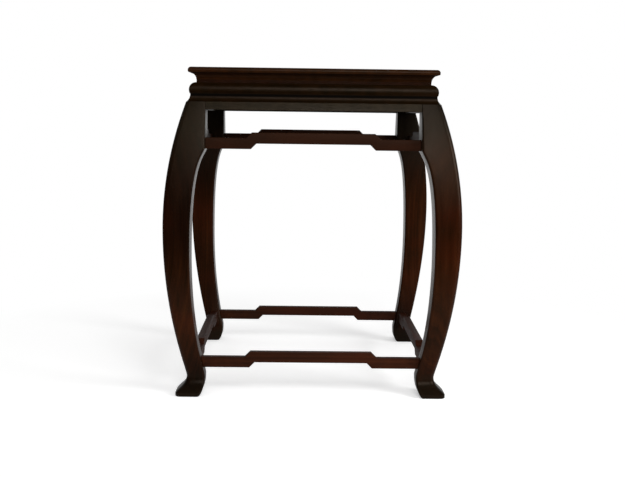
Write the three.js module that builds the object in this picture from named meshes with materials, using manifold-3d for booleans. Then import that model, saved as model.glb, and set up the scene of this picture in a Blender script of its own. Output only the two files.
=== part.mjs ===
// A square side table with a waisted top, bulging double-curved legs, turned-out feet
// and humpbacked stretchers, joined with mitres, mortises, tenons and grooves.
// Millimetres, +Z up. The origin is on the floor under the middle of the table,
// and the front looks towards -Y.
import * as THREE from 'three';
import { mergeVertices } from 'three/addons/utils/BufferGeometryUtils.js';
import Module from 'manifold-3d';

const wasm = await Module();
wasm.setup();

// Clearances
const seatGap = 0.3; // between two pieces that touch
const mitreGap = 0.2; // each mitred face stands back from the diagonal, along the piece
const facetsPerCurve = 5; // ellipse arcs get twice as many

// Top frame: four mitred members round a floating panel
const topHalf = 230; // half the square top, at the lip's nose
const topZ = 610;
const frameBottomZ = 587.5;
const frameInner = 174; // the members' inner edges
const noseRadius = 6;
const noseMidZ = 604;
const lipUndersideZ = 600.5;
const lipUnderside = 229.2;
const lipCorner = 1.0;

// Waist boards, let into the frame above and the moulding below
const waistFace = 215.5;
const waistThickness = 6;
const waistInner = waistFace - waistThickness;
const waistTopZ = 591.5;
const waistBottomZ = 579;

// Moulding under the waist: a bead over a flaring hollow
const mouldingTopZ = 582.5;
const mouldingBottomZ = 547.5;
const beadFace = 228.2;
const beadMidZ = 569;
const quirkFace = 226; // the quirk between the bead and the hollow
const quirkZ = 561.2;
const beadPullZ = 563.2; // where the bead starts to swell out of the quirk
const flareFace = 231.8;
const flareControlZ = 552.5;

// Aprons
const apronBottomZ = 533;
const apronInner = 214.5;
const apronArris = 1.2; // along its lower front edge
const apronTenon = { reach: 209, inner: 221, outer: 227, bottom: 536, top: 544 };

// Legs: the same outline is sawn on both faces of a square blank. Points are [reach, height]
const legTopZ = mouldingBottomZ - seatGap;
const legInner = 197; // the flat inner face above the bracket
const shoulder = [233.4, legTopZ];
const shoulderPull = [260.8, 467];
const bulgePullAbove = [272.4, 388.5];
const bulge = [272.4, 314];
const bulgePullBelow = [272.4, 157];
const anklePull = [233.6, 46];
const ankle = [233.6, 34.5];
const instepPull = [233.6, 19];
const toePull = [246, 16];
const toeTop = [253.2, 7];
const heel = [208.9, 0];
const heelPullLow = [200.9, 10];
const heelPullHigh = [199.2, 22];
const innerAnkle = [199.2, 36];
const innerAnklePull = [200.9, 52];
const hollowPullBelow = [223.7, 119.7];
const hollow = [223.7, 262.3];
const hollowPullAbove = [223.7, 426.2];
const bracketPull = [206.6, 440.5];
const bracket = [legInner, 462]; // where the flat inner face turns into the bracket
const legArris = 4.5; // radius of the leg's long arrises
const arrisFacets = 2;
const jointArris = 0.3; // beside the apron the arrises stay crisp
const arrisStop = 12; // how far below the apron they reach their full radius
const soleArris = 1.5; // all round the sole
const legRuns = [ // heights down the leg, and how many facets lead down to each
  { to: apronBottomZ, facets: 3 },
  { to: bracket[1], facets: 5 },
  { to: 420, facets: 6 },
  { to: 70, facets: 14 },
  { to: toeTop[1], facets: 10 },
  { to: soleArris, facets: 1 },
  { to: 0, facets: 1 },
];

// The post on each leg that passes behind the moulding and waist into the frame
const postInner = 198;
const postOuter = waistInner - seatGap;
const postTopZ = 602;
const postRoot = 20; // how far the post's block starts inside the leg

// Humpbacked stretchers, upper and lower
const stretcherHeight = 20.2;
const stretcherThickness = 16;
const stretcherEase = 1.4; // the softened arrises
const humpRise = 10;
const stretcherEnd = 215; // inside the leg, before the shoulder is scribed
const stretcherTenonHalf = 3;
const stretcherTenonInset = 4; // the tenon's step above and below
const tenonRoot = 150; // where a tenon's block starts inside its own piece
const upperStretcher = { face: 239, bottomZ: 462.2, humpHalf: 113, tenonReach: 219 };
const lowerStretcher = { face: 227, bottomZ: 50.2, humpHalf: 114.5, tenonReach: 215 };

// Floating panel and its two battens
const panelHalf = 173.6;
const panelBottomZ = 597;
const tongueTopZ = 603;
const tongueReach = 181.8;
const panelGrooveReach = 182.5;
const battenX = 85;
const battenHalf = 12;
const battenBottomZ = 588.5;
const dovetailTopZ = 601;
const dovetailNeck = 7.5;
const dovetailHead = 9.5;
const battenTenon = { half: 8, bottom: 590, top: 595.5, reach: 184 };

// The hidden tenon in each mitred corner of the frame
const cornerTenon = { inner: 184.8, outer: 194.5, bottom: 597.4, top: 602.6, reach: 211 };

// Finishes: one dark stained hardwood, a little redder or darker from piece to piece
const finishes = {
  frame: { color: 0x241106, roughness: 0.34 },
  panel: { color: 0x2c1509, roughness: 0.36 },
  batten: { color: 0x4c3324, roughness: 0.62 },
  waist: { color: 0x200c04, roughness: 0.42 },
  moulding: { color: 0x190d06, roughness: 0.32 },
  apron: { color: 0x21160c, roughness: 0.36 },
  leg: { color: 0x260f05, roughness: 0.34 },
  stretcher: { color: 0x2e1509, roughness: 0.38 },
};

// A closed geometry as a solid that can be joined and cut
function solidOf(geometry) {
  const bare = geometry.clone();
  bare.deleteAttribute('normal');
  bare.deleteAttribute('uv');
  const merged = mergeVertices(bare, 1e-4);
  return new wasm.Manifold(new wasm.Mesh({
    numProp: 3,
    vertProperties: new Float32Array(merged.attributes.position.array),
    triVerts: new Uint32Array(merged.index.array),
  }));
}

// A joined or cut solid as a geometry again
function geometryOf(solid) {
  const mesh = solid.getMesh();
  const geometry = new THREE.BufferGeometry();
  geometry.setAttribute('position', new THREE.BufferAttribute(new Float32Array(mesh.vertProperties), 3));
  geometry.setIndex(new THREE.BufferAttribute(new Uint32Array(mesh.triVerts), 1));
  geometry.computeVertexNormals();
  return geometry;
}

// A block between two corners
function block(low, high) {
  const [x, y, z] = high.map((value, axis) => value - low[axis]);
  const geometry = new THREE.BoxGeometry(x, y, z);
  geometry.translate(low[0] + x / 2, low[1] + y / 2, low[2] + z / 2);
  return solidOf(geometry);
}

const alongX = new THREE.Matrix4().makeBasis(
  new THREE.Vector3(0, 1, 0), new THREE.Vector3(0, 0, 1), new THREE.Vector3(1, 0, 0));
const alongY = new THREE.Matrix4().makeBasis(
  new THREE.Vector3(1, 0, 0), new THREE.Vector3(0, 0, 1), new THREE.Vector3(0, -1, 0));

// A section drawn in Y and Z, run along X from one end to the other
function runAlongX(section, from, to) {
  const geometry = new THREE.ExtrudeGeometry(section, {
    depth: to - from, bevelEnabled: false, curveSegments: facetsPerCurve,
  });
  geometry.applyMatrix4(alongX);
  geometry.translate(from, 0, 0);
  return solidOf(geometry);
}

// An elevation drawn in X and Z, run along Y, with its arrises eased if asked
function runAlongY(elevation, from, to, ease = 0) {
  const geometry = new THREE.ExtrudeGeometry(elevation, {
    depth: to - from - 2 * ease,
    bevelEnabled: ease > 0,
    bevelThickness: ease,
    bevelSize: ease,
    bevelOffset: -ease,
    bevelSegments: 1,
    curveSegments: facetsPerCurve,
  });
  geometry.applyMatrix4(alongY);
  geometry.translate(0, to - ease, 0);
  return solidOf(geometry);
}

// A polygon in plan, between two heights
function plate(points, lowZ, highZ) {
  const plan = new THREE.Shape(points.map(([x, y]) => new THREE.Vector2(x, y)));
  const geometry = new THREE.ExtrudeGeometry(plan, { depth: highZ - lowZ, bevelEnabled: false });
  geometry.translate(0, 0, lowZ);
  return solidOf(geometry);
}

// The room of one back piece between the two diagonals of the square
const mitreReach = 300;
const mitreWedge = plate([
  [0, mitreGap],
  [mitreReach, mitreReach + mitreGap],
  [-mitreReach, mitreReach + mitreGap],
], 0, topZ + mitreReach);

function mitred(section) {
  return runAlongX(section, -mitreReach, mitreReach).intersect(mitreWedge);
}

// A block and its mirror image on the other side of X = 0, both grown by a margin
function pairOfBlocks(low, high, margin = 0) {
  const [lowX, lowY, lowZ] = low.map((value) => value - margin);
  const [highX, highY, highZ] = high.map((value) => value + margin);
  const right = block([lowX, lowY, lowZ], [highX, highY, highZ]);
  const left = block([-highX, lowY, lowZ], [-lowX, highY, highZ]);
  return right.add(left);
}

// The two outlines of the leg, each as falling curves from the top down
function fallingCurves(curves) {
  return curves.map((points) => new THREE.CubicBezierCurve(
    ...points.map(([reach, height]) => new THREE.Vector2(reach, height))));
}

const outerCurves = fallingCurves([
  [shoulder, shoulderPull, bulgePullAbove, bulge],
  [bulge, bulgePullBelow, anklePull, ankle],
  [ankle, instepPull, toePull, toeTop],
]);
const innerCurves = fallingCurves([
  [bracket, bracketPull, hollowPullAbove, hollow],
  [hollow, hollowPullBelow, innerAnklePull, innerAnkle],
  [innerAnkle, heelPullHigh, heelPullLow, heel],
]);

// How far out falling curves are at one height; above and below them the line goes on upright
function reachAt(curves, height) {
  const curve = curves.find(({ v3 }) => height >= v3.y) ?? curves.at(-1);
  let [low, high] = [0, 1];
  for (let halving = 0; halving < 30; halving += 1) {
    const middle = (low + high) / 2;
    if (curve.getPoint(middle).y > height) {
      low = middle;
    } else {
      high = middle;
    }
  }
  return curve.getPoint(high).x;
}

const legLevels = [legTopZ];
for (const { to, facets } of legRuns) {
  const from = legLevels.at(-1);
  for (let step = 1; step <= facets; step += 1) {
    legLevels.push(THREE.MathUtils.lerp(from, to, step / facets));
  }
}

// The back right leg's section at one height, anticlockwise from its innermost corner:
// a square with its arrises rounded
function legSection(height) {
  const sole = Math.max(soleArris - height, 0);
  const inner = reachAt(innerCurves, height) + sole;
  const outer = reachAt(outerCurves, height) - sole;
  const faded = THREE.MathUtils.clamp((apronBottomZ - height) / arrisStop, 0, 1);
  const inside = THREE.MathUtils.lerp(jointArris, legArris, faded) - sole;
  const outside = legArris - sole;
  const corners = [
    { x: inner + inside, y: inner + inside, radius: inside },
    { x: outer - inside, y: inner + inside, radius: inside },
    { x: outer - outside, y: outer - outside, radius: outside },
    { x: inner + inside, y: outer - inside, radius: inside },
  ];
  return corners.flatMap(({ x, y, radius }, index) => (
    Array.from({ length: arrisFacets + 1 }, (_, step) => {
      const angle = Math.PI + (Math.PI / 2) * (index + step / arrisFacets);
      return [x + radius * Math.cos(angle), y + radius * Math.sin(angle), height];
    })
  ));
}

// A closed solid through convex rings of points, all with the same count, from the top down
function loft(rings) {
  const count = rings[0].length;
  const lowest = count * (rings.length - 1);
  const indices = [];
  for (let point = 0; point < count; point += 1) {
    const next = (point + 1) % count;
    for (let above = 0; above < lowest; above += count) {
      const below = above + count;
      indices.push(above + point, below + point, below + next);
      indices.push(above + point, below + next, above + next);
    }
    if (point > 0 && next > 0) {
      indices.push(0, point, next);
      indices.push(lowest, lowest + next, lowest + point);
    }
  }
  const geometry = new THREE.BufferGeometry();
  geometry.setAttribute('position', new THREE.Float32BufferAttribute(rings.flat(2), 3));
  geometry.setIndex(indices);
  return solidOf(geometry);
}

// The curved leg before its joints: the back right one
function shapedLeg() {
  return loft(legLevels.map(legSection));
}

// A stretcher's tenons at both ends, on the back side
function stretcherTenons({ face, bottomZ, tenonReach }, margin = 0) {
  const middle = face - stretcherThickness / 2;
  return pairOfBlocks(
    [tenonRoot, middle - stretcherTenonHalf, bottomZ + stretcherTenonInset],
    [tenonReach, middle + stretcherTenonHalf, bottomZ + stretcherHeight - stretcherTenonInset],
    margin,
  );
}

function apronTenons(margin = 0) {
  const { reach, inner, outer, bottom, top } = apronTenon;
  return pairOfBlocks([tenonRoot, inner, bottom], [reach, outer, top], margin);
}

const quarterTurn = 90;
const leg = shapedLeg();

// The leg's post and its mortises for two aprons and four stretcher ends
function finishedLeg() {
  const post = block(
    [postInner, postInner, legTopZ - postRoot],
    [postOuter, postOuter, postTopZ],
  );
  const alongBack = apronTenons(seatGap)
    .add(stretcherTenons(upperStretcher, seatGap))
    .add(stretcherTenons(lowerStretcher, seatGap));
  const alongRight = alongBack.rotate([0, 0, -quarterTurn]);
  return leg.add(post).subtract(alongBack).subtract(alongRight);
}

// A humpbacked stretcher on the back side: raised middle, 45 degree steps, scribed shoulders
function stretcher(place) {
  const { face, bottomZ, humpHalf } = place;
  const upperZ = bottomZ + stretcherHeight;
  const stepShift = stretcherHeight * Math.tan(Math.PI / 8); // keeps the steps as thick as the bar
  const innerHalf = humpHalf - stepShift;
  const elevation = new THREE.Shape();
  elevation.moveTo(-stretcherEnd, bottomZ);
  elevation.lineTo(-innerHalf - humpRise, bottomZ);
  elevation.lineTo(-innerHalf, bottomZ + humpRise);
  elevation.lineTo(innerHalf, bottomZ + humpRise);
  elevation.lineTo(innerHalf + humpRise, bottomZ);
  elevation.lineTo(stretcherEnd, bottomZ);
  elevation.lineTo(stretcherEnd, upperZ);
  elevation.lineTo(humpHalf + humpRise, upperZ);
  elevation.lineTo(humpHalf, upperZ + humpRise);
  elevation.lineTo(-humpHalf, upperZ + humpRise);
  elevation.lineTo(-humpHalf - humpRise, upperZ);
  elevation.lineTo(-stretcherEnd, upperZ);
  elevation.closePath();
  const bar = runAlongY(elevation, face - stretcherThickness, face, stretcherEase);
  const rightLeg = leg.translate([-seatGap, 0, 0]);
  const leftLeg = leg.rotate([0, 0, quarterTurn]).translate([seatGap, 0, 0]);
  return bar.subtract(rightLeg).subtract(leftLeg).add(stretcherTenons(place));
}

// An apron on the back side, its face on the legs' own curve
function apron() {
  const section = new THREE.Shape();
  section.moveTo(apronInner, legTopZ);
  section.lineTo(apronInner, apronBottomZ);
  section.lineTo(reachAt(outerCurves, apronBottomZ) - apronArris, apronBottomZ);
  const faceLevels = legLevels.filter((height) => height > apronBottomZ);
  faceLevels.push(apronBottomZ + apronArris);
  for (const height of faceLevels.reverse()) {
    section.lineTo(reachAt(outerCurves, height), height);
  }
  section.closePath();
  const reach = legInner - seatGap;
  return runAlongX(section, -reach, reach).add(apronTenons());
}

// The moulding strip on the back side
function moulding() {
  const section = new THREE.Shape();
  section.moveTo(waistInner, mouldingBottomZ);
  section.lineTo(flareFace, mouldingBottomZ);
  section.quadraticCurveTo(quirkFace, flareControlZ, quirkFace, quirkZ);
  section.quadraticCurveTo(beadFace, beadPullZ, beadFace, beadMidZ);
  const beadCentre = waistFace + seatGap;
  section.absellipse(
    beadCentre, beadMidZ, beadFace - beadCentre, mouldingTopZ - beadMidZ, 0, Math.PI / 2, false);
  section.lineTo(waistFace + seatGap, waistBottomZ - seatGap);
  section.lineTo(waistInner, waistBottomZ - seatGap);
  section.closePath();
  return mitred(section);
}

// The waist board on the back side
function waistBoard() {
  const section = new THREE.Shape();
  section.moveTo(waistInner, waistBottomZ);
  section.lineTo(waistFace, waistBottomZ);
  section.lineTo(waistFace, waistTopZ);
  section.lineTo(waistInner, waistTopZ);
  section.closePath();
  return mitred(section);
}

// The frame's section: waist groove, cove, rounded nose, top, panel groove
function frameSection() {
  const grooveInner = waistInner - seatGap;
  const grooveOuter = waistFace + seatGap;
  const grooveTopZ = waistTopZ + seatGap;
  const coveHeight = lipUndersideZ - frameBottomZ;
  const section = new THREE.Shape();
  section.moveTo(frameInner, frameBottomZ);
  section.lineTo(grooveInner, frameBottomZ);
  section.lineTo(grooveInner, grooveTopZ);
  section.lineTo(grooveOuter, grooveTopZ);
  section.lineTo(grooveOuter, frameBottomZ);
  section.absellipse(
    lipUnderside, frameBottomZ, lipUnderside - grooveOuter, coveHeight, Math.PI, Math.PI / 2, true);
  section.quadraticCurveTo(topHalf, lipUndersideZ + lipCorner, topHalf, noseMidZ);
  section.absellipse(
    topHalf - noseRadius, noseMidZ, noseRadius, topZ - noseMidZ, 0, Math.PI / 2, false);
  section.lineTo(frameInner, topZ);
  section.lineTo(frameInner, tongueTopZ + seatGap);
  section.lineTo(panelGrooveReach, tongueTopZ + seatGap);
  section.lineTo(panelGrooveReach, panelBottomZ - seatGap);
  section.lineTo(frameInner, panelBottomZ - seatGap);
  section.closePath();
  return section;
}

function cornerTenons(margin = 0) {
  const { inner, outer, bottom, top, reach } = cornerTenon;
  return pairOfBlocks([inner, inner, bottom], [reach, outer, top], margin);
}

// The sockets for the legs' posts, cut where two members meet
function postSockets() {
  return pairOfBlocks(
    [postInner, postInner, frameBottomZ - 1],
    [postOuter, postOuter, postTopZ],
    seatGap,
  );
}

function battenTenons(x, margin = 0) {
  const { half, bottom, top, reach } = battenTenon;
  return block(
    [x - half - margin, -reach - margin, bottom - margin],
    [x + half + margin, reach + margin, top + margin],
  );
}

// Front and back members carry the corner tenons and take the battens' ends
function tenonedMember() {
  return mitred(frameSection())
    .subtract(postSockets())
    .subtract(battenTenons(battenX, seatGap))
    .subtract(battenTenons(-battenX, seatGap))
    .add(cornerTenons());
}

// Left and right members take the corner tenons, drawn here on the back side
function mortisedMember() {
  const { inner, outer, bottom, top, reach } = cornerTenon;
  const sockets = pairOfBlocks([inner, inner, bottom], [outer, reach, top], seatGap);
  return mitred(frameSection()).subtract(postSockets()).subtract(sockets);
}

// A batten's section in X and Z, with its dovetail; a margin makes it the panel's slot
function battenSection(x, margin = 0) {
  const slope = (dovetailHead - dovetailNeck) / (dovetailTopZ - panelBottomZ);
  const neck = dovetailNeck + margin;
  const head = dovetailHead + margin * (1 + slope);
  const footZ = panelBottomZ - seatGap;
  const section = new THREE.Shape();
  section.moveTo(x - battenHalf, battenBottomZ);
  section.lineTo(x + battenHalf, battenBottomZ);
  section.lineTo(x + battenHalf, footZ);
  section.lineTo(x + neck, footZ);
  section.lineTo(x + head, dovetailTopZ + margin);
  section.lineTo(x - head, dovetailTopZ + margin);
  section.lineTo(x - neck, footZ);
  section.lineTo(x - battenHalf, footZ);
  section.closePath();
  return section;
}

function batten(x) {
  const end = frameInner - seatGap;
  return runAlongY(battenSection(x), -end, end).add(battenTenons(x));
}

// The floating panel: a flush field with a thinner tongue all round, slotted for the battens
function panel() {
  const field = block([-panelHalf, -panelHalf, panelBottomZ], [panelHalf, panelHalf, topZ]);
  const tongue = block([-tongueReach, -tongueReach, panelBottomZ], [tongueReach, tongueReach, tongueTopZ]);
  return [battenX, -battenX].reduce(
    (board, x) => board.subtract(runAlongY(battenSection(x, seatGap), -topHalf, topHalf)),
    field.add(tongue),
  );
}

const table = new THREE.Group();

function addPiece(name, geometry, finish, turn = 0) {
  const { color, roughness } = finishes[finish];
  const material = new THREE.MeshStandardMaterial({ color, roughness, metalness: 0 });
  const mesh = new THREE.Mesh(geometry, material);
  mesh.name = name;
  mesh.rotation.z = THREE.MathUtils.degToRad(turn);
  table.add(mesh);
}

// Pieces drawn on the back side, turned to each side of the square
const sides = [['back', 0], ['left', quarterTurn], ['front', 2 * quarterTurn], ['right', 3 * quarterTurn]];
const corners = [
  ['back_right', 0], ['back_left', quarterTurn],
  ['front_left', 2 * quarterTurn], ['front_right', 3 * quarterTurn],
];

const frameMembers = [geometryOf(tenonedMember()), geometryOf(mortisedMember())];
sides.forEach(([side, turn], index) => {
  addPiece(`top_frame_${side}`, frameMembers[index % 2], 'frame', turn);
});
addPiece('top_panel', geometryOf(panel()), 'panel');
addPiece('panel_batten_left', geometryOf(batten(-battenX)), 'batten');
addPiece('panel_batten_right', geometryOf(batten(battenX)), 'batten');

const repeats = [
  ['waist_board', waistBoard(), 'waist', sides],
  ['waist_moulding', moulding(), 'moulding', sides],
  ['apron', apron(), 'apron', sides],
  ['upper_stretcher', stretcher(upperStretcher), 'stretcher', sides],
  ['lower_stretcher', stretcher(lowerStretcher), 'stretcher', sides],
  ['leg', finishedLeg(), 'leg', corners],
];
for (const [name, solid, finish, places] of repeats) {
  const geometry = geometryOf(solid);
  for (const [place, turn] of places) {
    addPiece(`${name}_${place}`, geometry, finish, turn);
  }
}

export default table;
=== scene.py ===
import math

import bmesh
import bpy
from mathutils import Matrix, Vector


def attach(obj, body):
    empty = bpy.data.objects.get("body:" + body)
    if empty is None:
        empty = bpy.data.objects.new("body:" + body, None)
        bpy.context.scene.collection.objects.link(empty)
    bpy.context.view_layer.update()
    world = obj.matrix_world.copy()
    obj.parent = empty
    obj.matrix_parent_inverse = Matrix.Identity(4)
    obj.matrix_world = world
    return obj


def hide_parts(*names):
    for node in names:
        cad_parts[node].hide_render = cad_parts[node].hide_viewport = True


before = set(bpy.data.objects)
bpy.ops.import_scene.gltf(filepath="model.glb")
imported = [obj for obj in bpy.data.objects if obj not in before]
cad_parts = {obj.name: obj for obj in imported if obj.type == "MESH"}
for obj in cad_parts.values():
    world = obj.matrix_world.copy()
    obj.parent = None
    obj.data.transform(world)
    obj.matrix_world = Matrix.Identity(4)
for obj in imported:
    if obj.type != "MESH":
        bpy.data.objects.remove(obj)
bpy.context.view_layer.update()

print("frame loaded:", len(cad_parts), "pieces")

# All sizes are in metres. The table stands on the floor at the origin, its front towards -Y.
# What repeats is made on the back side, or at the back right corner, and turned to its places.
sideTurns = {"back": 0, "left": 90, "front": 180, "right": 270}
cornerTurns = {"back_right": 0, "back_left": 90, "front_left": 180, "front_right": 270}

# How close two points, two places, or a point and a curve have to be to count as the same
onePoint = 1e-6
samePlace = 1e-5
onCurve = 1e-4

# The camera stands a little left of the middle and looks slightly down
cameraValues = {
    "place": (-0.0287, -2.0028, 0.5224),
    "yaw": 0.885,  # degrees to the right
    "pitch": -7.222,  # degrees up
    "roll": 0.752,
    "lens": 55.44,  # millimetres
    "shift": (0.0015, 0.0003),
}


def makeCamera():
    bpy.ops.object.camera_add()
    camera = bpy.context.object
    camera.name = "tableCamera"
    yaw = Matrix.Rotation(math.radians(-cameraValues["yaw"]), 4, "Z")
    pitch = Matrix.Rotation(math.radians(90 + cameraValues["pitch"]), 4, "X")
    roll = Matrix.Rotation(math.radians(cameraValues["roll"]), 4, "Z")
    camera.matrix_world = Matrix.Translation(cameraValues["place"]) @ yaw @ pitch @ roll
    camera.data.lens = cameraValues["lens"]
    camera.data.shift_x, camera.data.shift_y = cameraValues["shift"]
    bpy.context.scene.camera = camera


makeCamera()
print("camera placed")


# Selecting and editing
def pick(piece):
    bpy.ops.object.select_all(action="DESELECT")
    piece.select_set(True)
    bpy.context.view_layer.objects.active = piece


def startEdit(piece):
    pick(piece)
    bpy.ops.object.mode_set(mode="EDIT")


def endEdit():
    bpy.ops.object.mode_set(mode="OBJECT")


def chooseFaces(piece, test):
    bpy.ops.mesh.select_all(action="DESELECT")
    bpy.ops.mesh.select_mode(type="FACE")
    shape = bmesh.from_edit_mesh(piece.data)
    for face in shape.faces:
        face.select_set(test(face.calc_center_median(), face.normal))
    bmesh.update_edit_mesh(piece.data)


def chooseEdges(piece, test, longerThan=0):
    bpy.ops.mesh.select_all(action="DESELECT")
    bpy.ops.mesh.select_mode(type="EDGE")
    shape = bmesh.from_edit_mesh(piece.data)
    for edge in shape.edges:
        chosen = all(test(corner.co) for corner in edge.verts)
        edge.select_set(chosen and edge.calc_length() > longerThan)
    bmesh.update_edit_mesh(piece.data)


def move(x=0, y=0, z=0):
    bpy.ops.transform.translate(value=(x, y, z))


def roundEdges(width, segments):
    bpy.ops.mesh.bevel(offset=width, segments=segments, profile=0.5)


def closeTo(value, target, within=samePlace):
    return abs(value - target) < within


def applyModifier(piece, kind, **settings):
    pick(piece)
    modifier = piece.modifiers.new(kind.lower(), kind)
    for name, value in settings.items():
        setattr(modifier, name, value)
    bpy.ops.object.modifier_apply(modifier=modifier.name)


# Shades a piece smooth, but not over edges that are sharper than an angle in degrees
def smooth(piece, sharperThan=30):
    pick(piece)
    bpy.ops.object.shade_smooth_by_angle(angle=math.radians(sharperThan))


# A strip along X with the section drawn in Y and Z: a flat strip first, whose edge is extruded
# from point to point round the section and closed on itself
def sectionStrip(name, section, halfLength):
    bpy.ops.mesh.primitive_plane_add(size=1)
    piece = bpy.context.object
    piece.name = name
    startEdit(piece)
    bpy.ops.transform.resize(value=(2 * halfLength, 1, 1))
    half = 0.5  # the new plane's edges lie this far out
    (firstY, firstZ), (hereY, hereZ) = section[:2]
    chooseEdges(piece, lambda at: at.y < 0)
    move(0, firstY + half, firstZ)
    chooseEdges(piece, lambda at: closeTo(at.y, half) and closeTo(at.z, 0))
    move(0, hereY - half, hereZ)
    for nextY, nextZ in section[2:] + section[:1]:
        step = (0, nextY - hereY, nextZ - hereZ)
        bpy.ops.mesh.extrude_edges_move(TRANSFORM_OT_translate={"value": step})
        hereY, hereZ = nextY, nextZ
    bpy.ops.mesh.select_all(action="SELECT")
    bpy.ops.mesh.remove_doubles(threshold=onePoint)
    bpy.ops.mesh.fill_holes(sides=0)
    bpy.ops.mesh.select_all(action="SELECT")
    bpy.ops.mesh.normals_make_consistent(inside=False)
    endEdit()
    return piece


# A mitred back piece starts as a strip longer than the side, and both its ends are cut along the
# diagonals of the square
mitreValues = {"stripHalf": 0.3, "gap": 0.0001}


def mitredStrip(name, section, values=mitreValues):
    piece = sectionStrip(name, section, values["stripHalf"])
    startEdit(piece)
    for way in (1, -1):
        bpy.ops.mesh.select_all(action="SELECT")
        bpy.ops.mesh.bisect(
            plane_co=(0, values["gap"], 0), plane_no=(way, -1, 0), use_fill=True, clear_outer=True)
    endEdit()
    return piece


def copyTurned(original, name, degrees):
    piece = original.copy()
    piece.data = original.data.copy()
    piece.name = name
    piece.data.transform(Matrix.Rotation(math.radians(degrees), 4, "Z"))
    bpy.context.scene.collection.objects.link(piece)
    return piece


def seat(piece, node):
    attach(piece, "root")
    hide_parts(node)


# Points along an ellipse, and along a curve given by its two ends and the points that pull it
def arcPoints(centre, radii, fromDegrees, toDegrees, steps):
    points = []
    for step in range(steps + 1):
        angle = math.radians(fromDegrees + (toDegrees - fromDegrees) * step / steps)
        across, up = radii[0] * math.cos(angle), radii[1] * math.sin(angle)
        points.append((centre[0] + across, centre[1] + up))
    return points


def curvePoint(curve, share):
    points = [Vector(point) for point in curve]
    while len(points) > 1:
        points = [low.lerp(high, share) for low, high in zip(points, points[1:])]
    return points[0]


def curvePoints(curve, steps):
    return [tuple(curvePoint(curve, step / steps)) for step in range(steps + 1)]


# How far out falling curves are at one height, found by halving
def reachAt(curves, height, halvings=40):
    curve = next(
        curve for curve in curves if curve[0][1] + onePoint >= height >= curve[-1][1] - onePoint)
    low, high = 0.0, 1.0
    for _ in range(halvings):
        middle = (low + high) / 2
        if curvePoint(curve, middle)[1] > height:
            low = middle
        else:
            high = middle
    return curvePoint(curve, (low + high) / 2)[0]


# Wood finishes. Colours are what the eye sees, as red, green, blue from 0 to 255. The broad shading
# is how dark and how light broad areas get, partly random tone and partly painted shade and painted
# light, and "dulled" is added to the roughness
woodLooks = {
    "frame": {"dark": (21, 9, 1), "mid": (31, 14, 3), "light": (42, 21, 6), "red": (45, 17, 4)},
    "panel": {"dark": (27, 12, 5), "mid": (43, 20, 9), "light": (62, 31, 15), "red": (60, 23, 10)},
    "batten": {
        "dark": (48, 31, 21), "mid": (76, 51, 36), "light": (104, 74, 53), "red": (90, 54, 38),
    },
    "waist": {"dark": (14, 3, 0), "mid": (22, 6, 0), "light": (31, 10, 1), "red": (35, 8, 1)},
    "moulding": {
        "dark": (10, 5, 0), "mid": (18, 9, 1), "light": (26, 14, 5), "red": (28, 11, 2),
        # painted shade in the hollow under the bead: its height, its half width and that of its
        # black core
        "paintedCreaseShade": (0.5594, 0.0036, 0.001),
    },
    "apron": {"dark": (14, 11, 5), "mid": (22, 18, 10), "light": (31, 25, 15), "red": (30, 18, 9)},
    "leg": {
        "dark": (20, 8, 1), "mid": (34, 13, 3), "light": (46, 21, 5), "red": (55, 16, 4),
        "ends": (22, 19, 12), "toneAndPaintedShading": (0.44, 1.42),
    },
    "stretcher": {
        "dark": (30, 13, 5), "mid": (42, 17, 7), "light": (54, 25, 11), "red": (59, 20, 8),
        "ends": (34, 17, 8), "toneAndPaintedShading": (0.8, 1.2), "dulled": 0.25,
    },
}

woodValues = {
    # the middle of the growth rings, off the piece, for grain along each axis
    "pith": {"X": (0, 0.31, 0.52), "Y": (0.31, 0, 0.52), "Z": (0.17, 0.15, 0)},
    "ringWidth": 0.0042,
    "waver": 0.014,  # how far the rings wander
    "alongGrain": 0.055,  # scale of the patterns along the grain, against 1 across it
    # how fine each pattern is
    "scales": {
        "waver": 14, "streaks": 95, "fibres": 900, "pores": 1500, "patches": 9, "rubbing": 60,
        "lacquer": 130, "toneAndPaintedShading": 5,
    },
    # each range is the part of a noise that takes a pattern from none to full
    "toneRange": (0.3, 0.7),
    "toneShares": {"rings": 0.35, "streaks": 0.4, "fibres": 0.25},
    "toneStops": {"dark": 0.15, "mid": 0.5, "light": 0.85},
    "patchRange": (0.48, 0.75),
    "reddest": 0.5,
    "poreRange": (0.6, 0.68),
    "poreStain": 0.4,
    "arrisRange": (0.52, 0.6),
    "rubbedRange": (0.4, 0.7),
    "rubbed": (0.05, 0.4),  # least and most wear on an arris
    "rubbedLighter": 1.4,
    # the colour turns from red brown to near black towards the top, as painted shade under the
    # table top, and again towards the feet
    "paintedShadeTop": (0.34, 0.5, 0, 0.85),  # from this height to that one, and from this share to that
    "lowerEnd": (0.045, 0.02, 0, 0.7),
    # the seed sets where the broad patches fall, so that they also paint shade and light on the
    # legs' faces
    "shadeSeed": 47.36,
    "shadeRange": (0.33, 0.63),
    "satinRange": (0.3, 0.75),
    "roughness": (0.27, 0.37),
    "poreRoughness": 0.1,
    "lookingDown": (-0.6, -0.95),  # the upward share of the normal where the polish ends
    "dullest": 0.85,  # roughness of the faces that look down, left off the polish, and of creases
    "shine": 0.085,
    "shineTint": (1, 0.82, 0.66, 1),
    "poreDepth": 0.00005,
    "fibreHeight": 0.25,  # against a pore's depth
    "lacquerHeight": 0.8,
}


# Blender's own colours are linear
def seen(colour):
    channels = []
    for value in colour:
        share = value / 255
        channels.append(share / 12.92 if share <= 0.04045 else ((share + 0.055) / 1.055) ** 2.4)
    return (*channels, 1)


def feed(tree, node, name, value):
    socket = node.inputs[name]
    if isinstance(value, bpy.types.NodeSocket):
        tree.links.new(value, socket)
    else:
        socket.default_value = value


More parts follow.
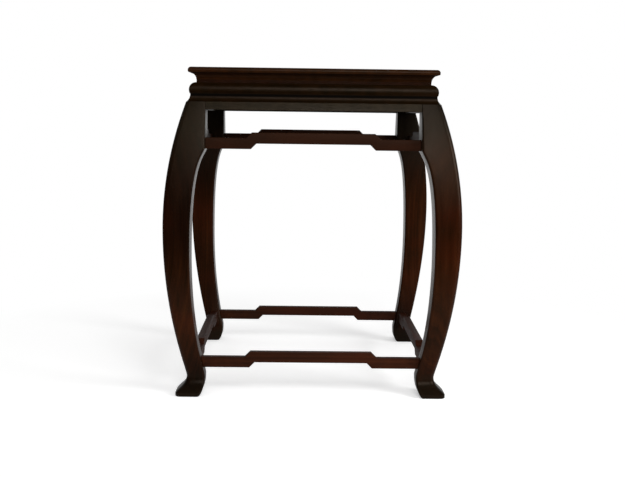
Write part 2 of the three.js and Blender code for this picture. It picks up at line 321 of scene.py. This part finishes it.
def addNode(tree, kind, settings=None, **inputs):
    node = tree.nodes.new(kind)
    for name, value in (settings or {}).items():
        setattr(node, name, value)
    for name, value in inputs.items():
        feed(tree, node, name.replace("_", " "), value)
    return node


def maths(tree, operation, first, second=0.0):
    node = addNode(tree, "ShaderNodeMath", {"operation": operation})
    feed(tree, node, 0, first)
    feed(tree, node, 1, second)
    return node.outputs[0]


def spread(tree, value, low, high, toLow=0.0, toHigh=1.0):
    node = addNode(
        tree, "ShaderNodeMapRange", Value=value, From_Min=low, From_Max=high, To_Min=toLow,
        To_Max=toHigh)
    return node.outputs[0]


def noise(tree, vector, scale, detail=2.0, roughness=0.5):
    node = addNode(
        tree, "ShaderNodeTexNoise", Vector=vector, Scale=scale, Detail=detail, Roughness=roughness)
    return node.outputs["Fac"]


def blend(tree, share, first, second):
    node = addNode(tree, "ShaderNodeMix", {"data_type": "RGBA"})
    feed(tree, node, 0, share)
    feed(tree, node, 6, first)
    feed(tree, node, 7, second)
    return node.outputs[2]


# Growth rings round a pith that lies off the piece, streaks and fibres along the grain, and fine
# open pores
def drawGrain(tree, place, grain, values):
    along = "XYZ".index(grain)
    stretch = [1.0, 1.0, 1.0]
    stretch[along] = values["alongGrain"]
    across = [1.0, 1.0, 1.0]
    across[along] = 0.0
    scales, shares = values["scales"], values["toneShares"]
    drawn = addNode(tree, "ShaderNodeMapping", Vector=place, Scale=stretch).outputs[0]
    pith = [-value * flat for value, flat in zip(values["pith"][grain], across)]
    disc = addNode(tree, "ShaderNodeMapping", Vector=place, Scale=across, Location=pith).outputs[0]
    radius = addNode(tree, "ShaderNodeVectorMath", {"operation": "LENGTH"})
    feed(tree, radius, 0, disc)
    waver = values["waver"]
    wander = spread(tree, noise(tree, drawn, scales["waver"]), 0, 1, -waver, waver)
    wavering = maths(tree, "ADD", radius.outputs["Value"], wander)
    rings = addNode(
        tree, "ShaderNodeTexNoise", {"noise_dimensions": "1D"},
        W=maths(tree, "DIVIDE", wavering, values["ringWidth"]), Scale=1.0, Detail=3.0)
    streaks = noise(tree, drawn, scales["streaks"], detail=5, roughness=0.62)
    fibres = noise(tree, drawn, scales["fibres"])
    ringTone = spread(tree, rings.outputs["Fac"], *values["toneRange"], 0, shares["rings"])
    streakTone = spread(tree, streaks, *values["toneRange"], 0, shares["streaks"])
    fibreTone = maths(tree, "MULTIPLY", fibres, shares["fibres"])
    poreNoise = noise(tree, drawn, scales["pores"], detail=1)
    return {
        "tone": maths(tree, "ADD", maths(tree, "ADD", ringTone, streakTone), fibreTone),
        "streaks": streaks,
        "fibres": fibres,
        "pores": spread(tree, poreNoise, *values["poreRange"]),
    }


# The stain over the grain: redder in patches, dark in the pores, rubbed lighter along the arrises;
# with some woods painted shade towards the top and darker at the feet, and broad patches of random
# tone mixed with painted shade and light
def stainWood(tree, look, marks, place, height, pointiness, values):
    scales, places = values["scales"], values["toneStops"]
    ramp = addNode(tree, "ShaderNodeValToRGB", Fac=marks["tone"])
    stops = ramp.color_ramp.elements
    stops[0].position, stops[0].color = places["dark"], seen(look["dark"])
    stops[1].position, stops[1].color = places["light"], seen(look["light"])
    stops.new(places["mid"]).color = seen(look["mid"])
    patchNoise = noise(tree, place, scales["patches"])
    patches = spread(tree, patchNoise, *values["patchRange"], 0.0, values["reddest"])
    colour = blend(tree, patches, ramp.outputs[0], seen(look["red"]))
    filled = maths(tree, "MULTIPLY", marks["pores"], values["poreStain"])
    colour = blend(tree, filled, colour, seen(look["dark"]))
    rubbingNoise = noise(tree, place, scales["rubbing"], detail=3)
    rubbing = spread(tree, rubbingNoise, *values["rubbedRange"], *values["rubbed"])
    arrises = spread(tree, pointiness, *values["arrisRange"])
    rubbedColour = seen([value * values["rubbedLighter"] for value in look["light"]])
    colour = blend(tree, maths(tree, "MULTIPLY", arrises, rubbing), colour, rubbedColour)
    # painted shade towards the top, under the table top, and darker again towards the feet
    if "ends" in look:
        upper = spread(tree, height, *values["paintedShadeTop"])
        lower = spread(tree, height, *values["lowerEnd"])
        colour = blend(tree, maths(tree, "MAXIMUM", upper, lower), colour, seen(look["ends"]))
    # broad patches, partly random tone and partly painted shade and painted light
    if "toneAndPaintedShading" in look:
        broad = addNode(
            tree, "ShaderNodeTexNoise", {"noise_dimensions": "4D"}, Vector=place,
            W=values["shadeSeed"], Scale=scales["toneAndPaintedShading"], Detail=1.0)
        toneAndPaintedShading = spread(tree, broad.outputs["Fac"], *values["shadeRange"], *look["toneAndPaintedShading"])
        colour = addNode(tree, "ShaderNodeHueSaturation", Color=colour, Value=toneAndPaintedShading).outputs[0]
    return colour


# Satin lacquer, rougher over the pores and quite dull where it was left off
def lacquerRoughness(tree, look, marks, dull, values):
    smoothest, roughest = (rough + look.get("dulled", 0) for rough in values["roughness"])
    satin = spread(tree, marks["streaks"], *values["satinRange"], smoothest, roughest)
    poreRoughness = maths(tree, "MULTIPLY", marks["pores"], values["poreRoughness"])
    polished = maths(tree, "ADD", satin, poreRoughness)
    left = maths(tree, "MULTIPLY", polished, maths(tree, "SUBTRACT", 1, dull))
    return maths(tree, "ADD", left, maths(tree, "MULTIPLY", dull, values["dullest"]))


def lacquerBump(tree, marks, place, values):
    fibres = maths(tree, "MULTIPLY", marks["fibres"], values["fibreHeight"])
    grain = maths(tree, "SUBTRACT", fibres, marks["pores"])
    ripples = noise(tree, place, values["scales"]["lacquer"], detail=1)
    lacquer = maths(tree, "MULTIPLY", ripples, values["lacquerHeight"])
    bump = addNode(
        tree, "ShaderNodeBump", Height=maths(tree, "ADD", grain, lacquer),
        Distance=values["poreDepth"], Strength=1.0)
    return bump.outputs[0]


# Solid stained wood under a satin lacquer, with its grain along one axis
def makeWood(name, look, grain, values=woodValues):
    material = bpy.data.materials.new(name)
    material.use_nodes = True
    tree = material.node_tree
    tree.nodes.clear()
    place = addNode(tree, "ShaderNodeTexCoord").outputs["Object"]
    height = addNode(tree, "ShaderNodeSeparateXYZ", Vector=place).outputs["Z"]
    shape = addNode(tree, "ShaderNodeNewGeometry").outputs
    marks = drawGrain(tree, place, grain, values)
    colour = stainWood(tree, look, marks, place, height, shape["Pointiness"], values)
    upward = addNode(tree, "ShaderNodeSeparateXYZ", Vector=shape["Normal"]).outputs["Z"]
    dull = spread(tree, upward, *values["lookingDown"])
    # a band of painted shade in the crease under the bead: black in its core, and dull
    if "paintedCreaseShade" in look:
        middle, wide, core = look["paintedCreaseShade"]
        away = maths(tree, "ABSOLUTE", maths(tree, "SUBTRACT", height, middle))
        paintedCreaseShade = spread(tree, away, wide, core)
        dull = maths(tree, "MAXIMUM", dull, paintedCreaseShade)
        colour = blend(tree, paintedCreaseShade, colour, seen((0, 0, 0)))
    shader = addNode(
        tree, "ShaderNodeBsdfPrincipled", Base_Color=colour,
        Roughness=lacquerRoughness(tree, look, marks, dull, values),
        Normal=lacquerBump(tree, marks, place, values),
        Specular_IOR_Level=values["shine"], Specular_Tint=values["shineTint"])
    output = addNode(tree, "ShaderNodeOutputMaterial")
    tree.links.new(shader.outputs[0], output.inputs[0])
    return material


woods = {}  # the finishes made so far, by kind and grain


def wood(kind, grain):
    name = f"{kind}Wood{grain}"
    if name not in woods:
        woods[name] = makeWood(name, woodLooks[kind], grain)
    return woods[name]


def finish(piece, kind, grain):
    piece.data.materials.clear()
    piece.data.materials.append(wood(kind, grain))


def sideGrain(side):
    return "X" if side in ("back", "front") else "Y"


# Legs: one outline, sawn on both faces of a square blank. Points are (out from the middle, height)
legValues = {
    "outerCurves": [
        [(0.2337, 0.5472), (0.2612, 0.467), (0.2728, 0.3885), (0.2728, 0.314)],
        [(0.2728, 0.314), (0.2728, 0.157), (0.234, 0.046), (0.234, 0.0345)],
        [(0.234, 0.0345), (0.234, 0.019), (0.2464, 0.016), (0.2534, 0.007)],
        [(0.2534, 0.007), (0.2534, 0.0)],
    ],
    "innerCurves": [
        [(0.197, 0.5472), (0.197, 0.462)],
        [(0.197, 0.462), (0.2066, 0.4405), (0.2237, 0.4262), (0.2237, 0.2623)],
        [(0.2237, 0.2623), (0.2237, 0.1197), (0.2009, 0.052), (0.1992, 0.036)],
        [(0.1992, 0.036), (0.1992, 0.022), (0.2009, 0.01), (0.2089, 0.0)],
    ],
    # each run of levels: its lowest height and how many steps lead down to it
    "levels": [(0.533, 3), (0.521, 4), (0.462, 7), (0.42, 14), (0.07, 34), (0.007, 18), (0.0, 2)],
    "postInner": 0.198,
    "postOuter": 0.2092,
    "postTop": 0.5873,
    # the arris at the outer corner is worn rounder than the other three
    "outerArris": 0.0095,
    "arris": 0.0045,
    "arrisSegments": 8,
    "jointArris": 0.0003,  # beside the aprons, which butt against the leg above this height
    "jointBottom": 0.533,
    "arrisStop": 0.012,  # how far below the aprons the arrises reach their full radius
    "soleArris": 0.0015,
    "soleSegments": 3,
    "sharperThan": 24,
}


def legLevels(values):
    heights = [values["outerCurves"][0][0][1]]
    for lowest, steps in values["levels"]:
        start = heights[-1]
        heights += [start + (lowest - start) * (step + 1) / steps for step in range(steps)]
    return heights


def makeLeg(values=legValues):
    postSize = values["postOuter"] - values["postInner"]
    postMiddle = (values["postOuter"] + values["postInner"]) / 2
    place = (postMiddle, postMiddle, values["postTop"])
    bpy.ops.mesh.primitive_plane_add(size=postSize, location=place)
    leg = bpy.context.object
    leg.name = "sawnLeg"
    bpy.ops.object.transform_apply(location=True)
    startEdit(leg)
    bpy.ops.mesh.select_all(action="SELECT")
    size, middle, height = postSize, postMiddle, values["postTop"]
    heights = legLevels(values)
    # the post keeps its size down to the shoulder, where the leg starts at its own size
    levels = [(heights[0], values["postInner"], values["postOuter"])]
    for level in heights:
        inner, outer = (reachAt(values[curves], level) for curves in ("innerCurves", "outerCurves"))
        levels.append((level, inner, outer))
    for nextHeight, inner, outer in levels:
        shift = (inner + outer) / 2 - middle
        step = (shift, shift, nextHeight - height)
        bpy.ops.mesh.extrude_region_move(TRANSFORM_OT_translate={"value": step})
        grown = (outer - inner) / size
        size, middle, height = outer - inner, (inner + outer) / 2, nextHeight
        bpy.ops.transform.resize(value=(grown, grown, 1), center_override=(middle, middle, height))
    bpy.ops.mesh.select_all(action="SELECT")
    bpy.ops.mesh.remove_doubles(threshold=onePoint)
    bpy.ops.mesh.normals_make_consistent(inside=False)

    # Round the four arrises, but hardly where the aprons lie against the leg
    shape = bmesh.from_edit_mesh(leg.data)
    weights = shape.edges.layers.float.new("bevel_weight_edge")
    for edge in shape.edges:
        low, high = sorted((corner.co for corner in edge.verts), key=lambda at: at.z)
        level = closeTo(low.z, high.z, onCurve)
        onPost = high.z > heights[0] + samePlace
        if level or onPost:
            continue
        outer = reachAt(values["outerCurves"], low.z)
        outermost = closeTo(low.x, low.y) and closeTo(low.x, outer, onCurve)
        faded = (values["jointBottom"] - (low.z + high.z) / 2) / values["arrisStop"]
        grown = values["arris"] - values["jointArris"]
        radius = values["jointArris"] + grown * min(max(faded, 0), 1)
        edge[weights] = 1 if outermost else radius / values["outerArris"]
    bmesh.update_edit_mesh(leg.data)
    endEdit()
    applyModifier(
        leg, "BEVEL", width=values["outerArris"], segments=values["arrisSegments"],
        limit_method="WEIGHT", use_clamp_overlap=False)
    startEdit(leg)
    chooseEdges(leg, lambda at: closeTo(at.z, 0))
    roundEdges(values["soleArris"], values["soleSegments"])
    endEdit()
    smooth(leg, values["sharperThan"])
    return leg


sawnLeg = makeLeg()
for corner, turn in cornerTurns.items():
    leg = copyTurned(sawnLeg, "shapedLeg_" + corner, turn)
    finish(leg, "leg", "Z")
    seat(leg, "leg_" + corner)
print("legs shaped")


# Stretchers: a bar drawn from its left end to its right over the raised middle
stretcherValues = {
    "height": 0.0202,
    "thickness": 0.016,
    "rise": 0.01,
    "slope": 45,  # degrees, from the ends up to the raised middle
    "end": 0.213,
    "arris": 0.002,
    "arrisSegments": 3,
    "sharperThan": 50,  # degrees: the bends of the bar keep their edge
    "gap": 0.00015,
    "upper": {"face": 0.239, "bottom": 0.4622, "humpHalf": 0.113},
    "lower": {"face": 0.227, "bottom": 0.0502, "humpHalf": 0.1145},
}


def makeStretcher(level, values=stretcherValues):
    face, bottom, humpHalf = (values[level][key] for key in ("face", "bottom", "humpHalf"))
    height, thickness, rise, end = (values[key] for key in ("height", "thickness", "rise", "end"))
    slope = math.radians(values["slope"])
    run = rise / math.tan(slope)
    underHalf = humpHalf - height * math.tan(slope / 2)
    # stations along the bar: place of the lower edge, of the upper edge, and how far it is raised
    stations = [
        (-underHalf - run, -humpHalf - run, 0), (-underHalf, -humpHalf, rise),
        (underHalf, humpHalf, rise), (underHalf + run, humpHalf + run, 0), (end, end, 0)]
    middleY, middleZ = face - thickness / 2, bottom + height / 2
    bpy.ops.mesh.primitive_plane_add(size=1, rotation=(0, math.radians(90), 0))
    bar = bpy.context.object
    bar.name = level + "Stretcher"
    bpy.ops.object.transform_apply(rotation=True)
    startEdit(bar)
    bpy.ops.mesh.select_all(action="SELECT")
    bpy.ops.transform.resize(value=(1, thickness, height), center_override=(0, 0, 0))
    move(-end, middleY, middleZ)
    lowerAt, upperAt, raised = -end, -end, 0
    for nextLower, nextUpper, nextRaised in stations:
        step = (nextLower - lowerAt, 0, nextRaised - raised)
        bpy.ops.mesh.extrude_region_move(TRANSFORM_OT_translate={"value": step})
        # the upper edge of the new end goes on to its own place
        nowUpper = upperAt + nextLower - lowerAt
        endMiddleZ = middleZ + nextRaised
        chooseEdges(bar, lambda at: closeTo(at.x, nowUpper) and at.z > endMiddleZ)
        move(nextUpper - nowUpper)
        lowerAt, upperAt, raised = nextLower, nextUpper, nextRaised
        endMiddleX = (lowerAt + upperAt) / 2
        chooseFaces(bar, lambda at, normal: closeTo(at.x, endMiddleX) and normal.x > 0.5)
    bpy.ops.mesh.select_all(action="SELECT")
    bpy.ops.mesh.normals_make_consistent(inside=False)
    endEdit()
    applyModifier(
        bar, "BEVEL", width=values["arris"], segments=values["arrisSegments"],
        limit_method="ANGLE", angle_limit=math.radians(values["sharperThan"]))
    # scribe both shoulders to the legs' curves, a hair short of them
    for turn, way in ((0, -1), (90, 1)):
        cutter = copyTurned(sawnLeg, "cutter", turn)
        cutter.data.transform(Matrix.Translation((way * values["gap"], 0, 0)))
        applyModifier(bar, "BOOLEAN", operation="DIFFERENCE", solver="EXACT", object=cutter)
        bpy.data.objects.remove(cutter)
    smooth(bar)
    return bar


for level in ("upper", "lower"):
    bar = makeStretcher(level)
    for side, turn in sideTurns.items():
        stretcher = copyTurned(bar, f"{level}Stretcher_{side}", turn)
        finish(stretcher, "stretcher", sideGrain(side))
        seat(stretcher, f"{level}_stretcher_{side}")
    bpy.data.objects.remove(bar)
bpy.data.objects.remove(sawnLeg)
print("stretchers bent and scribed")


# Aprons, their faces on the legs' own curve
apronValues = {
    "bottom": 0.533, "inner": 0.2145, "halfLength": 0.19685, "steps": 6,
    "arris": 0.0012, "arrisSegments": 3, "sharperThan": 24,
}


def makeApron(values=apronValues):
    top, bottom, steps = legValues["outerCurves"][0][0][1], values["bottom"], values["steps"]
    heights = [top + (bottom - top) * step / steps for step in range(steps + 1)]
    section = [(reachAt(legValues["outerCurves"], height), height) for height in heights]
    section += [(values["inner"], bottom), (values["inner"], top)]
    apron = sectionStrip("apron", section, values["halfLength"])
    startEdit(apron)
    chooseEdges(apron, lambda at: closeTo(at.z, bottom), longerThan=values["halfLength"])
    roundEdges(values["arris"], values["arrisSegments"])
    endEdit()
    smooth(apron, values["sharperThan"])
    return apron


# The moulding under the waist: a bead over a flaring hollow
mouldingValues = {
    "inner": 0.2095, "bottom": 0.5475, "top": 0.5825,
    "flare": (0.2318, 0.5475), "flarePull": (0.226, 0.5525), "quirk": (0.226, 0.5612),
    "beadPull": (0.2282, 0.5632), "bead": (0.2282, 0.569), "beadBack": 0.2158,
    "rebateBottom": 0.5787,
    "steps": {"flare": 12, "beadSide": 6, "bead": 16},
    "sharperThan": 35,
}


def makeMoulding(values=mouldingValues):
    beadBack, top, steps = values["beadBack"], values["top"], values["steps"]
    beadFace, beadMiddle = values["bead"]
    beadRadii = (beadFace - beadBack, top - beadMiddle)
    flare = [values["flare"], values["flarePull"], values["quirk"]]
    beadSide = [values["quirk"], values["beadPull"], values["bead"]]
    section = curvePoints(flare, steps["flare"])
    section += curvePoints(beadSide, steps["beadSide"])[1:]
    section += arcPoints((beadBack, beadMiddle), beadRadii, 0, 90, steps["bead"])[1:]
    section += [(beadBack, values["rebateBottom"]), (values["inner"], values["rebateBottom"])]
    section += [(values["inner"], values["bottom"])]
    moulding = mitredStrip("moulding", section)
    smooth(moulding, values["sharperThan"])
    return moulding


# Frame members: grooved for the waist and the panel, with a cove under a rounded nose
memberValues = {
    "inner": 0.174, "top": 0.61, "bottom": 0.5875,
    "waistGroove": (0.2092, 0.2158), "waistGrooveTop": 0.5918,
    "lipUnderside": 0.2292, "coveTop": 0.6005, "lipCorner": 0.001,
    "nose": 0.23, "noseMiddle": 0.604, "noseRadius": 0.006,
    "panelGroove": 0.1825, "panelGrooveHeights": (0.5967, 0.6033),
    "steps": {"cove": 18, "lip": 6, "nose": 14},
    "arris": 0.0004, "arrisSegments": 2,  # beside the panel
    "sharperThan": 35,
}


def makeMember(values=memberValues):
    inner, top, bottom = values["inner"], values["top"], values["bottom"]
    grooveInner, grooveOuter = values["waistGroove"]
    grooveLow, grooveHigh = values["panelGrooveHeights"]
    underside, coveTop = values["lipUnderside"], values["coveTop"]
    nose, noseMiddle, noseRadius = values["nose"], values["noseMiddle"], values["noseRadius"]
    steps = values["steps"]
    coveRadii = (underside - grooveOuter, coveTop - bottom)
    lip = [(underside, coveTop), (nose, coveTop + values["lipCorner"]), (nose, noseMiddle)]
    noseCentre, noseRadii = (nose - noseRadius, noseMiddle), (noseRadius, top - noseMiddle)
    section = [(inner, bottom), (grooveInner, bottom), (grooveInner, values["waistGrooveTop"])]
    section += [(grooveOuter, values["waistGrooveTop"])]
    section += arcPoints((underside, bottom), coveRadii, 180, 90, steps["cove"])
    section += curvePoints(lip, steps["lip"])[1:]
    section += arcPoints(noseCentre, noseRadii, 0, 90, steps["nose"])[1:]
    section += [(inner, top), (inner, grooveHigh), (values["panelGroove"], grooveHigh)]
    section += [(values["panelGroove"], grooveLow), (inner, grooveLow)]
    member = mitredStrip("member", section)
    startEdit(member)
    chooseEdges(member, lambda at: closeTo(at.y, inner) and closeTo(at.z, top))
    roundEdges(values["arris"], values["arrisSegments"])
    endEdit()
    smooth(member, values["sharperThan"])
    return member


sidePieces = [
    (makeApron, "apron", "apron_", "apron"),
    (makeMoulding, "moulding", "waist_moulding_", "moulding"),
    (makeMember, "frameMember", "top_frame_", "frame"),
]
for make, name, node, kind in sidePieces:
    original = make()
    for side, turn in sideTurns.items():
        piece = copyTurned(original, f"{name}_{side}", turn)
        finish(piece, kind, sideGrain(side))
        seat(piece, node + side)
    bpy.data.objects.remove(original)
print("aprons, mouldings and frame members run")


# The floating panel, a raised field with a thin tongue all round
panelValues = {
    "half": 0.1736, "tongueHalf": 0.1818, "bottom": 0.597, "tongueTop": 0.603, "top": 0.61,
    "arris": 0.0004, "arrisSegments": 2,
}


def makePanel(values=panelValues):
    tongueHalf, bottom, tongueTop = values["tongueHalf"], values["bottom"], values["tongueTop"]
    middle = (0, 0, (bottom + tongueTop) / 2)
    bpy.ops.mesh.primitive_cube_add(size=1, location=middle)
    panel = bpy.context.object
    panel.name = "floatingPanel"
    bpy.ops.object.transform_apply(location=True)
    startEdit(panel)
    bpy.ops.mesh.select_all(action="SELECT")
    bpy.ops.transform.resize(
        value=(2 * tongueHalf, 2 * tongueHalf, tongueTop - bottom), center_override=middle)
    chooseFaces(panel, lambda at, normal: normal.z > 0.5)
    bpy.ops.mesh.inset(thickness=tongueHalf - values["half"])
    field = (0, 0, values["top"] - tongueTop)
    bpy.ops.mesh.extrude_region_move(TRANSFORM_OT_translate={"value": field})
    chooseEdges(panel, lambda at: closeTo(at.z, values["top"]))
    roundEdges(values["arris"], values["arrisSegments"])
    endEdit()
    smooth(panel)
    finish(panel, "panel", "X")
    seat(panel, "top_panel")


makePanel()


# Battens across the panel's underside
battenValues = {
    "at": 0.085, "half": 0.012, "bottom": 0.5885, "top": 0.59675, "end": 0.17385,
    "arris": 0.001, "arrisSegments": 2,
}


def makeBatten(values=battenValues):
    bottom, top = values["bottom"], values["top"]
    middle = (values["at"], 0, (bottom + top) / 2)
    bpy.ops.mesh.primitive_cube_add(size=1, location=middle)
    batten = bpy.context.object
    batten.name = "batten"
    bpy.ops.object.transform_apply(location=True)
    startEdit(batten)
    bpy.ops.mesh.select_all(action="SELECT")
    bpy.ops.transform.resize(
        value=(2 * values["half"], 2 * values["end"], top - bottom), center_override=middle)
    chooseEdges(batten, lambda at: closeTo(at.z, bottom))
    roundEdges(values["arris"], values["arrisSegments"])
    endEdit()
    smooth(batten)
    return batten


rightBatten = makeBatten()
for side, turn in (("right", 0), ("left", 180)):
    batten = copyTurned(rightBatten, "batten_" + side, turn)
    finish(batten, "batten", "Y")
    seat(batten, "panel_batten_" + side)
bpy.data.objects.remove(rightBatten)

# The waist boards are plain boards in their grooves, so they only take their finish
for side in sideTurns:
    finish(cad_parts["waist_board_" + side], "waist", sideGrain(side))
print("panel, battens and waist boards done")


# Floor, sky and lamps
studioValues = {
    "floorSize": 2.0,
    "floorMiddle": 0.2,  # a little behind the table's
    "floorDrop": 0.0002,  # a hair below the feet
    "floorColour": 0.86,
    "floorLift": 0.41,  # added for the camera alone, so that the pale floor stays clean
    "floorFade": (0.5, 0.95),  # where the floor runs out into the white backdrop
    "skyAbove": 0.48,
    "skyBelow": 0.1,
    "horizon": (-0.05, 0.05),
    "skyDark": 0.02,  # what the lacquer mirrors from the unlit room round the white backdrop
    "skyEdge": (0.6, 0.85),  # where that backdrop ends, by the share of the ray that runs back
    "lamps": {
        "keyLamp": {"place": (0.28, -2.46, 1.66), "size": (1.1, 1.4), "watts": 30},
        "sideLamp": {"place": (1.82, -1.05, 1.02), "size": (0.8, 0.95), "watts": 30},
    },
    "lampTarget": (0, 0, 0.35),
}


# The floor fades into the backdrop by its distance from the table's middle
def makeFloor(values=studioValues):
    bpy.ops.mesh.primitive_plane_add(
        size=values["floorSize"], location=(0, values["floorMiddle"], -values["floorDrop"]))
    floor = bpy.context.object
    floor.name = "paleFloor"
    bpy.ops.object.transform_apply(location=True)
    material = bpy.data.materials.new("paleFloor")
    material.use_nodes = True
    tree = material.node_tree
    tree.nodes.clear()
    pale = values["floorColour"]
    paper = addNode(tree, "ShaderNodeBsdfDiffuse", Color=(pale, pale, pale, 1))
    path = addNode(tree, "ShaderNodeLightPath").outputs
    lift = addNode(
        tree, "ShaderNodeEmission", Color=(1, 1, 1, 1),
        Strength=maths(tree, "MULTIPLY", path["Is Camera Ray"], values["floorLift"]))
    lifted = addNode(tree, "ShaderNodeAddShader")
    tree.links.new(paper.outputs[0], lifted.inputs[0])
    tree.links.new(lift.outputs[0], lifted.inputs[1])
    distance = addNode(tree, "ShaderNodeVectorMath", {"operation": "LENGTH"})
    feed(tree, distance, 0, addNode(tree, "ShaderNodeTexCoord").outputs["Object"])
    near, far = values["floorFade"]
    faded = spread(tree, distance.outputs["Value"], near, far)
    shown = maths(tree, "MAXIMUM", path["Is Camera Ray"], path["Is Transmission Ray"])
    white = addNode(tree, "ShaderNodeEmission", Color=(1, 1, 1, 1))
    both = addNode(tree, "ShaderNodeMixShader")
    feed(tree, both, 0, maths(tree, "MULTIPLY", faded, shown))
    tree.links.new(lifted.outputs[0], both.inputs[1])
    tree.links.new(white.outputs[0], both.inputs[2])
    output = addNode(tree, "ShaderNodeOutputMaterial")
    tree.links.new(both.outputs[0], output.inputs[0])
    floor.data.materials.append(material)


# A white backdrop behind the table, for the camera and in what the lacquer mirrors
def makeSky(values=studioValues):
    world = bpy.data.worlds.new("studio")
    bpy.context.scene.world = world
    world.use_nodes = True
    tree = world.node_tree
    tree.nodes.clear()
    path = addNode(tree, "ShaderNodeLightPath").outputs
    towards = addNode(tree, "ShaderNodeTexCoord").outputs["Generated"]
    parts = addNode(tree, "ShaderNodeSeparateXYZ", Vector=towards).outputs
    plain = spread(tree, parts["Z"], *values["horizon"], values["skyBelow"], values["skyAbove"])
    mirrored = spread(tree, parts["Y"], *values["skyEdge"], values["skyDark"], 1)
    difference = maths(tree, "SUBTRACT", mirrored, plain)
    change = maths(tree, "MULTIPLY", path["Is Glossy Ray"], difference)
    shown = maths(tree, "MAXIMUM", path["Is Camera Ray"], path["Is Transmission Ray"])
    strength = maths(tree, "MAXIMUM", maths(tree, "ADD", plain, change), shown)
    light = addNode(tree, "ShaderNodeBackground", Color=(1, 1, 1, 1), Strength=strength)
    output = addNode(tree, "ShaderNodeOutputWorld")
    tree.links.new(light.outputs[0], output.inputs[0])


def makeLamp(name, values):
    bpy.ops.object.light_add(type="AREA", location=values["place"])
    lamp = bpy.context.object
    lamp.name = name
    lamp.data.shape = "RECTANGLE"
    lamp.data.size, lamp.data.size_y = values["size"]
    lamp.data.energy = values["watts"]
    aim = Vector(studioValues["lampTarget"]) - Vector(values["place"])
    lamp.rotation_euler = aim.to_track_quat("-Z", "Y").to_euler()


makeFloor()
makeSky()
for name, values in studioValues["lamps"].items():
    makeLamp(name, values)
bpy.context.scene.view_settings.view_transform = "Standard"
print("studio lit")
